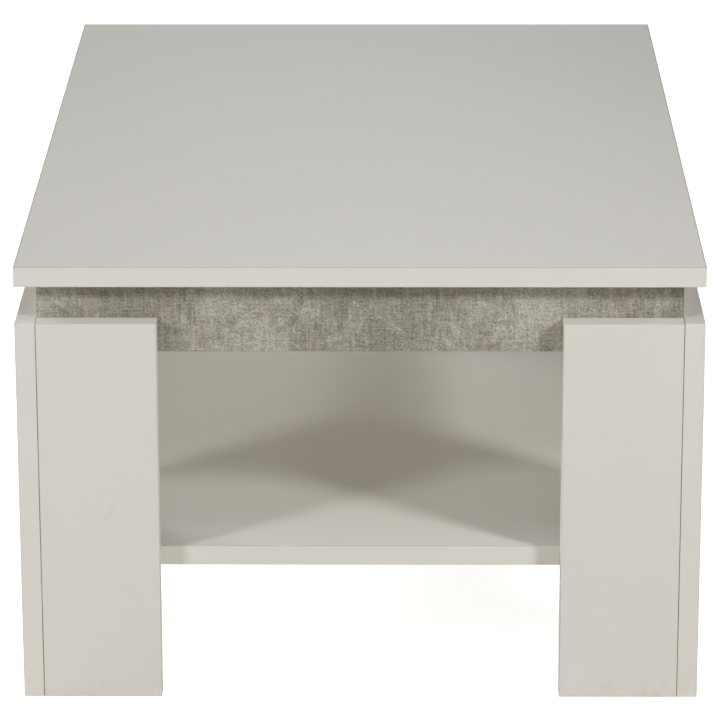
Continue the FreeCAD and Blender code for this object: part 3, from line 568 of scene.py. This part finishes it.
def turned(start, axis, along, radius):
    # point = start + axis * along + radius * (side * cos(turn) + up * sin(turn)), with a point on
    # the axis that closes each end
    rings, sides = radius.shape
    turn = np.linspace(0, 2 * np.pi, sides, endpoint=False)
    side = np.cross(axis, (0.0, 0.0, 1.0) if abs(axis[2]) < 0.9 else (1.0, 0.0, 0.0))
    side = side / np.linalg.norm(side)
    up = np.cross(axis, side)
    outward = np.cos(turn)[:, None] * side + np.sin(turn)[:, None] * up
    points = start + along[..., None] * axis + radius[..., None] * outward
    index = np.arange(rings * sides).reshape(rings, sides)
    below, above = index[:-1], index[1:]
    quads = np.stack([below, np.roll(below, -1, axis=1), np.roll(above, -1, axis=1), above], axis=-1)
    poles = start + np.array([along[0].mean(), along[-1].mean()])[:, None] * axis
    points = np.concatenate([points.reshape(-1, 3), poles])
    first, last = index[0], index[-1]
    closing = np.concatenate([
        np.stack([np.full(sides, rings * sides), np.roll(first, -1), first], axis=-1),
        np.stack([last, np.roll(last, -1), np.full(sides, rings * sides + 1)], axis=-1)])
    return points, quads.reshape(-1, 4), closing


sharpAngle = 34


def turnedPiece(name, parts, body, slot, *replaced):
    starts = np.cumsum([0] + [len(points) for points, _, _ in parts])
    quads = np.concatenate([part[1] + first for part, first in zip(parts, starts)])
    closing = np.concatenate([part[2] + first for part, first in zip(parts, starts)])
    mesh = bpy.data.meshes.new(name)
    mesh.from_pydata(np.concatenate([part[0] for part in parts]).tolist(), [],
                     quads.tolist() + closing.tolist())
    mesh.polygons.foreach_set("use_smooth", np.ones(len(mesh.polygons), dtype=bool))
    mesh.set_sharp_from_angle(angle=math.radians(sharpAngle))
    mesh.materials.append(finishes[slot])
    piece = bpy.data.objects.new(name, mesh)
    bpy.context.scene.collection.objects.link(piece)
    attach(piece, body)
    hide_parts(*replaced)


def ringsOf(profile, sides):
    # the same (along, radius) pairs, in millimetres, on every side
    pairs = np.array(profile) * mm
    return (np.repeat(pairs[:, :1], sides, axis=1), np.repeat(pairs[:, 1:], sides, axis=1))


# the turned pieces' sizes are in millimetres
woodScrew = {"head": 4.0, "headHeight": 2.4, "core": 1.45, "crest": 2.0, "pitch": 1.6,
             "tip": 6.0, "recess": 1.3, "recessReach": 2.3, "slot": 0.75, "sides": 24,
             "faceRings": (0.35, 0.7, 1.1, 1.5, 1.9, 2.3, 2.5, 3.2), "runIn": 1.5, "point": 0.05,
             "stepsPerTurn": 6}


def turnsRound(shape):
    return np.linspace(0, 2 * np.pi, shape["sides"], endpoint=False)[None, :]


def woodScrewParts(node):
    # face: along = recess * (1 - distance to the cross / slot), out to the head's radius; then a
    # cone; then radius = core + (crest - core) * ((1 + cos(2 pi along / pitch - turn)) / 2)^3,
    # drawn in to a point over the tip's length
    shape = woodScrew
    turn = turnsRound(shape)
    parts = []
    for solid in solidsOf(node):
        start, axis, length = lineOf(solid)
        length = length / mm
        across = np.array([*shape["faceRings"], shape["head"]])[:, None]
        cross = np.minimum(abs(across * np.sin(turn)), abs(across * np.cos(turn)))
        sink = shape["recess"] * np.clip(1 - cross / shape["slot"], 0, 1)
        sink = sink * np.clip((shape["recessReach"] - across) / 0.5, 0, 1)
        down = np.arange(shape["headHeight"], length - 0.2,
                         shape["pitch"] / shape["stepsPerTurn"])[:, None]
        ridge = (0.5 + 0.5 * np.cos(2 * np.pi * down / shape["pitch"] - turn)) ** 3
        started = np.clip((down - shape["headHeight"]) / shape["runIn"], 0, 1)
        thread = shape["core"] + (shape["crest"] - shape["core"]) * ridge * started
        thread = thread * np.clip((length - down) / shape["tip"], 0.04, 1) ** 0.7
        along = np.concatenate([sink, down + 0 * turn, length + 0 * turn])
        radius = np.concatenate([across + 0 * turn, thread, shape["point"] + 0 * turn])
        parts.append(turned(start, axis, along * mm, radius * mm))
    return parts


camBolt = {"head": 3.5, "headLength": 3.0, "shank": 2.5, "core": 2.35, "crest": 3.0, "pitch": 2.0,
           "threadLength": 11.0, "sides": 24, "socket": 1.6, "chamfer": 0.5, "rimEnd": 2.4,
           "neck": 2.9, "tail": 1.8, "stepsPerTurn": 6}


def camBoltParts(node):
    # head, then plain shank, then radius = core + (crest - core) * ((1 + cos(2 pi along / pitch -
    # turn)) / 2)^2 over the thread's length
    shape = camBolt
    turn = turnsRound(shape)
    parts = []
    for solid in solidsOf(node):
        start, axis, length = lineOf(solid)
        length = length / mm
        begin = length - shape["threadLength"]
        headAlong, headRadius = ringsOf([
            (0, shape["socket"]), (0, shape["head"] - shape["chamfer"]),
            (shape["chamfer"], shape["head"]), (shape["rimEnd"], shape["head"]),
            (shape["headLength"], shape["neck"]), (shape["headLength"], shape["shank"]),
            (begin, shape["shank"])], shape["sides"])
        down = np.arange(begin + 0.3, length - 0.4, shape["pitch"] / shape["stepsPerTurn"])[:, None]
        ridge = (0.5 + 0.5 * np.cos(2 * np.pi * down / shape["pitch"] - turn)) ** 2
        thread = shape["core"] + (shape["crest"] - shape["core"]) * ridge
        along = np.concatenate([headAlong / mm, down + 0 * turn, length + 0 * turn])
        radius = np.concatenate([headRadius / mm, thread, shape["tail"] + 0 * turn])
        parts.append(turned(start, axis, along * mm, radius * mm))
    return parts


dowelPin = {"radius": 4.0, "chamfer": 0.9, "flutes": 16, "fluteDepth": 0.28, "sides": 96,
            "endRing": 1.5}


def dowelParts(node):
    # radius = full radius - flute depth * ((1 + cos(flutes * turn)) / 2)^2, chamfered at both ends
    shape = dowelPin
    turn = turnsRound(shape)
    flute = shape["fluteDepth"] * (0.5 + 0.5 * np.cos(shape["flutes"] * turn)) ** 2
    edge, inset = shape["chamfer"], shape["endRing"]
    parts = []
    for solid in solidsOf(node):
        start, axis, length = lineOf(solid)
        length = length / mm
        along = np.array([0, 0, edge, length - edge, length, length])[:, None]
        drawnIn = np.array([inset, edge, 0, 0, edge, inset])[:, None]
        radius = shape["radius"] - drawnIn - flute * (drawnIn < edge)
        parts.append(turned(start, axis, (along + 0 * turn) * mm, radius * mm))
    return parts


rivet = {"shank": 4.0, "head": 7.0, "headHeight": 1.4, "rim": 0.45, "washerGap": 0.8, "web": 2.0,
         "sides": 40, "edge": 0.15, "pole": 0.6, "headGap": 0.2, "domeRings": 8}


def domed(height, grows):
    # quarter circle bow from the rim to the middle: radius = head * cos(a), rise = bow * sin(a)
    angles = np.linspace(0, np.pi / 2, rivet["domeRings"])[:-1]
    bow = rivet["headHeight"] - rivet["rim"]
    rise = rivet["rim"] + bow * np.sin(angles)
    pairs = np.stack([height + grows * rise, rivet["head"] * np.cos(angles)], axis=1)
    return pairs.tolist() + [[height + grows * rivet["headHeight"], rivet["pole"]]]


def rivetSet(node, profile):
    # one at each of the two pivots of each end: the box of all four gives their places
    low, high = [np.array(corner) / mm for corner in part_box(node)]
    reach = rivet["head"]
    spots = [(low[0] + reach, low[2] + reach), (high[0] - reach, high[2] - reach)]
    rings = ringsOf(profile, rivet["sides"])
    return [turned(np.array((x, -end * low[1], z)) * mm, np.array((0.0, -end, 0.0)), *rings)
            for x, z in spots for end in (-1, 1)]


def pivotRivets():
    # the base rivets have one domed head, the top's have one at each end of the shank
    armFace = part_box("near_front_arm")[1][1] / mm
    head, edge, shank = rivet["head"], rivet["edge"], rivet["shank"]
    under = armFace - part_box("base_pivot_pins")[0][1] / mm + rivet["headGap"]
    profile = [(0, rivet["pole"]), (0, shank), (under, shank), (under, head - edge),
               (under + edge, head)] + domed(under, 1)
    turnedPiece("base_pivot_rivets", rivetSet("base_pivot_pins", profile), "base", "zinc_steel",
                "base_pivot_pins")
    outer = rivet["headHeight"]
    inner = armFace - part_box("top_pivot_pins")[0][1] / mm + rivet["washerGap"] + rivet["web"]
    profile = domed(outer, -1)[::-1] + [
        (outer - edge, head), (outer, head - edge), (outer, shank), (inner, shank),
        (inner, head - edge), (inner + edge, head)] + domed(inner, 1)
    turnedPiece("top_pivot_rivets", rivetSet("top_pivot_pins", profile), "top", "zinc_steel",
                "top_pivot_pins")


strut = {"start": 14.0, "length": 105.0, "radius": 7.5, "wall": 1.2, "endWall": 3.0,
         "shoulder": 1.6, "lip": 1.0, "groove": 0.55, "grooveFromEnd": 6.0, "grooveHalf": 1.1,
         "sides": 48}


def strutTubes():
    # outside: quarter circle shoulder, long barrel, a groove of depth * cos(pi step / 2)^2 rolled
    # over the gland, quarter circle lip; then back along the bore to the welded end
    shape = strut
    full, bore = shape["radius"], shape["radius"] - shape["wall"]
    begin, end = shape["start"], shape["start"] + shape["length"]
    bend, lipBend = shape["shoulder"], shape["lip"]
    shoulder = [(begin + bend - bend * math.cos(angle), full - bend + bend * math.sin(angle))
                for angle in np.linspace(0.0, math.pi / 2, 6)]
    middle, half = end - shape["grooveFromEnd"], shape["grooveHalf"]
    groove = [(middle + half * step, full - shape["groove"] * math.cos(step * math.pi / 2) ** 2)
              for step in np.linspace(-1, 1, 9)]
    lip = [(end - lipBend + lipBend * math.sin(angle), full - lipBend + lipBend * math.cos(angle))
           for angle in np.linspace(0.0, math.pi / 2, 5)]
    back = [(end, bore), (begin + shape["endWall"], bore)]
    along, radius = ringsOf(shoulder + groove + lip + back, shape["sides"])
    joints = {joint["name"]: joint for joint in frame["joints"]}
    for side in ("near", "far"):
        anchor = np.array(joints[f"strut_{side}_swing"]["pos_m"], dtype=float)
        axis = np.array(joints[f"strut_{side}_slide"]["axis"], dtype=float)
        tube = turned(anchor, axis / np.linalg.norm(axis), along, radius)
        turnedPiece(f"{side}_strut_barrel", [tube], f"strut_cylinder_{side}", "strut_black",
                    f"{side}_strut_tube")


for joined in ("leg", "shelf", "apron"):
    turnedPiece(joined + "_fluted_dowels", dowelParts(joined + "_dowels"), "base", "beech",
                joined + "_dowels")
    turnedPiece(joined + "_threaded_cam_bolts", camBoltParts(joined + "_cam_bolts"), "base",
                "zinc_steel", joined + "_cam_bolts")
for joined, body in (("leg", "base"), ("base_plate", "base"), ("top_bracket", "top")):
    turnedPiece(joined + "_wood_screws", woodScrewParts(joined + "_screws"), body, "zinc_steel",
                joined + "_screws")
pivotRivets()
strutTubes()
print("turned pieces done")
